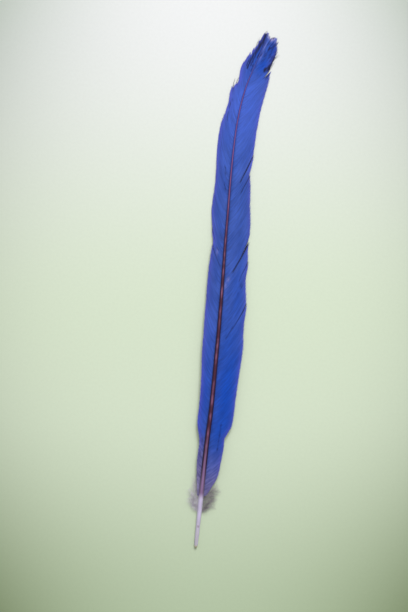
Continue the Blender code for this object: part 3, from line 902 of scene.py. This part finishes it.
def shaft_material():
    """Horn: red brown with patches of painted highlight on top, dark flanks along the vanes that are partly
    painted shade, lilac white and clear at the quill, and painted shade in the pit.
    """
    made = Nodes("horn")
    place = made.position()
    along = made.attribute("along")
    fibres = made.noise(made.stretched(place, FIBRES))
    patchy = made.noise(made.stretched(place, HORN_PATCHES))
    foot = made.range(along, *FOOT_SPAN)
    # The flanks get darker horn and painted shade, widening towards the tip.
    wider_flank = made.range(along, *WIDER_FLANK_SPAN, 0, WIDER_FLANK)
    edge = made.range(made.math("ADD", made.attribute("side"), wider_flank), *SIDE_SHARES)
    base = made.mix(edge, horn_middle(made, along, patchy, foot), horn_flank_and_shade(made, along, foot))
    base = made.mix(made.range(along, *BLUE_SPAN), base, TIP_BLUE)
    base = made.mix(made.range(along, *RIM_SPAN), base, QUILL_RIM)
    spot = made.math("MULTIPLY", made.range(along, *SPOT_START), made.range(along, *SPOT_END))
    spot = made.math("MULTIPLY", spot, made.range(patchy, *SPOT_NOISE, 0, SPOT_STRENGTH))
    base = made.mix(spot, base, SPOT_BROWN)
    # Painted shade in the pit at the quill's end, dark brown.
    base = made.mix(made.attribute("pit"), base, PIT_SHADE_BROWN)
    below = made.mix(foot, HORN_BELOW, QUILL_BELOW)
    base = made.mix(made.range(made.attribute("below"), *BELOW_SHARES), base, below)
    base = made.mix(1.0, base, made.grey(made.range(fibres, *SOFT_NOISE, *FIBRE_LIGHT)), "MULTIPLY")
    made.bump(fibres, FIBRE_DEPTH, FIBRE_STRENGTH)
    made.gloss(HORN_GLOSS)
    return made.finish(base, made.range(patchy, *EVEN_NOISE, *HORN_ROUGHNESS))


def horn_middle(made, along, patchy, foot):
    """The colour along the top of the shaft, with patches of painted highlight."""
    # Patches of painted highlight along the top.
    middle = made.mix(made.range(patchy, *HIGHLIGHT_NOISE), HORN, HORN_HIGHLIGHT)
    middle = made.mix(made.range(along, *HORN_SPAN), HORN_AT_FOOT, middle)
    middle = made.mix(made.range(along, *HORN_TIP_SPAN), middle, HORN_AT_TIP)
    quill = made.mix(made.range(along, *QUILL_SPAN), QUILL_AT_END, QUILL)
    return made.mix(foot, middle, quill)


def horn_flank_and_shade(made, along, foot):
    """The colour along the shaft's flanks: darker horn and painted shade."""
    flank = made.mix(made.range(along, *FLANK_TIP_SPAN), FLANK_AND_SHADE, FLANK_AND_SHADE_AT_TIP)
    flank = made.mix(made.range(along, *FLANK_SPAN), FLANK_AND_SHADE_AT_FOOT, flank)
    return made.mix(foot, flank, QUILL_FLANK)


def down_material(name, dark_tone, pale_tone):
    """Loose down: pale fine hairs on darker stems."""
    made = Nodes(name)
    mottle = made.noise(made.stretched(made.position(), DOWN_MOTTLE))
    base = made.mix(made.range(mottle, *SHARP_NOISE), dark_tone, pale_tone)
    base = made.mix(made.math("MULTIPLY", made.attribute("hair"), HAIR_PALENESS), base, pale_tone)
    made.gloss(DOWN_GLOSS)
    return made.finish(base, made.range(mottle, *EVEN_NOISE, *DOWN_ROUGHNESS))


def stray_material():
    """Loose barbs, nearly black."""
    made = Nodes("loose_barbs")
    mottle = made.noise(made.stretched(made.position(), STRAY_MOTTLE))
    base = made.mix(made.range(mottle, *SHARP_NOISE), STRAY_DARK, STRAY_PALER)
    return made.finish(base, made.range(mottle, *EVEN_NOISE, *STRAY_ROUGHNESS))


def photo_place(pixel):
    """Where a pixel of the photograph lies on the surface."""
    right = (pixel[0] - QUILL_END_PIXEL[0]) * PIXEL
    up = (QUILL_END_PIXEL[1] - pixel[1]) * PIXEL
    cosine, sine = np.cos(PHOTO_TURN), np.sin(PHOTO_TURN)
    return np.array([QUILL_X + right * cosine - up * sine, QUILL_Y + right * sine + up * cosine])


def floor_material(middle):
    """A pale surface: soft green at the photograph's foot, nearly white at its top with painted glare,
    painted shade in its corners and at its sides, and darker painted light fall-off outside the photograph.
    """
    made = Nodes("pale_surface_painted_light")
    right, up = photo_axes(made, middle)
    base = made.mix(made.range(up, *FOOT_HEIGHTS), SURFACE_FOOT, SURFACE_MIDDLE)
    # Painted glare of the window light whitens the photograph's top.
    base = made.mix(made.range(up, *TOP_HEIGHTS), base, SURFACE_TOP_GLARE)
    # Painted shade in the photograph's corners.
    wide = made.math("MINIMUM", made.math("MULTIPLY", right, right), 1.0)
    high = made.math("MINIMUM", made.math("MULTIPLY", up, up), 1.0)
    corner = made.mix(made.range(up, *ALL_HEIGHTS), FOOT_CORNER_SHADE, TOP_CORNER_SHADE)
    corner = made.mix(made.math("MULTIPLY", wide, high), UNSHADED, corner)
    base = made.mix(1.0, base, corner, "MULTIPLY")
    # Painted shade at the sides.
    sides = made.math("MULTIPLY_ADD", made.math("MULTIPLY", wide, wide), -SIDE_LOSS, 1.0)
    base = made.mix(1.0, base, made.grey(sides), "MULTIPLY")
    # Outside the photograph, darker tones of painted light fall-off take over.
    away = made.math("MAXIMUM", made.math("ABSOLUTE", right), made.math("ABSOLUTE", up))
    far = made.mix(made.range(up, *FAR_HEIGHTS), FAR_FOOT_SHADE, FAR_TOP_SHADE)
    base = made.mix(made.range(away, *FAR_FADE), base, far)
    grain = made.noise(made.stretched(made.position(), GRAIN), detail=3)
    base = made.mix(1.0, base, made.grey(made.range(grain, *SOFTEST_NOISE, *GRAIN_LIGHT)), "MULTIPLY")
    return made.finish(base, SURFACE_ROUGHNESS)


def photo_axes(made, middle):
    """How far a place lies to the photograph's right and up it, in half widths and half heights."""
    turned = made.tree.nodes.new("ShaderNodeMapping")
    turned.vector_type = "TEXTURE"
    turned.inputs["Location"].default_value = (*middle, 0)
    turned.inputs["Rotation"].default_value = (0, 0, PHOTO_TURN)
    turned.inputs["Scale"].default_value = (PHOTO_SIZE[0] / 2 * PIXEL, PHOTO_SIZE[1] / 2 * PIXEL, 1)
    made.connect(turned.inputs["Vector"], made.position())
    split = made.tree.nodes.new("ShaderNodeSeparateXYZ")
    made.connect(split.inputs[0], turned.outputs[0])
    return split.outputs[0], split.outputs[1]


def stage():
    """The pale surface, soft light from the top of the photograph, and the camera straight above."""
    middle = photo_place((PHOTO_SIZE[0] / 2, PHOTO_SIZE[1] / 2))
    half = SURFACE_SIZE / 2
    mesh = bpy.data.meshes.new("surface")
    corners = [(-half, -half), (half, -half), (half, half), (-half, half)]
    mesh.from_pydata([(x, y, -SURFACE_DROP) for x, y in corners], [], [(0, 1, 2, 3)])
    floor = bpy.data.objects.new("surface", mesh)
    bpy.context.scene.collection.objects.link(floor)
    mesh.materials.append(floor_material(middle))
    pale_room()
    aim = np.array([*middle, 0.0])
    turn = np.array([[np.cos(PHOTO_TURN), -np.sin(PHOTO_TURN)], [np.sin(PHOTO_TURN), np.cos(PHOTO_TURN)]])
    place = aim + (*turn @ WINDOW_PLACE[:2], WINDOW_PLACE[2])
    soft_light("window", aim, place, WINDOW_SIZE, WINDOW_WATTS)
    camera_above(middle)


def pale_room():
    """The soft light that comes from all round."""
    world = bpy.data.worlds.new("pale_room")
    world.use_nodes = True
    world.node_tree.nodes["Background"].inputs["Color"].default_value = ROOM_COLOUR
    world.node_tree.nodes["Background"].inputs["Strength"].default_value = ROOM_STRENGTH
    bpy.context.scene.world = world


def camera_above(middle):
    """The camera, straight above the middle of the photograph, framed and turned as it is."""
    camera = bpy.data.cameras.new("camera")
    camera.sensor_width = SENSOR
    camera.lens = SENSOR * CAMERA_HEIGHT / (PHOTO_SIZE[1] * PIXEL)
    camera.clip_start = CAMERA_NEAR
    seat = bpy.data.objects.new("camera", camera)
    seat.location = (*middle, CAMERA_HEIGHT)
    seat.rotation_euler = (0, 0, PHOTO_TURN)
    bpy.context.scene.collection.objects.link(seat)
    bpy.context.scene.camera = seat
    bpy.context.scene.view_settings.view_transform = "Standard"


def soft_light(name, aim, place, size, power):
    """A square area light that faces the aim."""
    light = bpy.data.lights.new(name, "AREA")
    light.shape = "SQUARE"
    light.size = size
    light.energy = power
    lamp = bpy.data.objects.new(name, light)
    lamp.location = place
    way = Vector(aim - place)
    lamp.rotation_euler = way.to_track_quat("-Z", "Y").to_euler()
    bpy.context.scene.collection.objects.link(lamp)


def main():
    """Builds the surface, the light and the six pieces, which all ride on the one body."""
    stage()
    barbs = barb_material()
    pieces = []
    for side, word in SIDES:
        made = vane(side, f"vane_{word}")
        made.data.materials.append(barbs)
        pieces.append(made)
    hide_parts("tail_feather")
    rod = shaft("shaft")
    rod.data.materials.append(shaft_material())
    pieces.append(rod)
    downs = {side: down_material(*DOWN_TONES[side]) for side, _ in SIDES}
    for side, word in SIDES:
        made = down(side, f"down_{word}")
        made.data.materials.append(downs[side])
        pieces.append(made)
    strays = stray_barbs("stray_barbs")
    strays.data.materials.append(stray_material())
    pieces.append(strays)
    for made in pieces:
        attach(made, "root")
        print(made.name, len(made.data.polygons))


main()
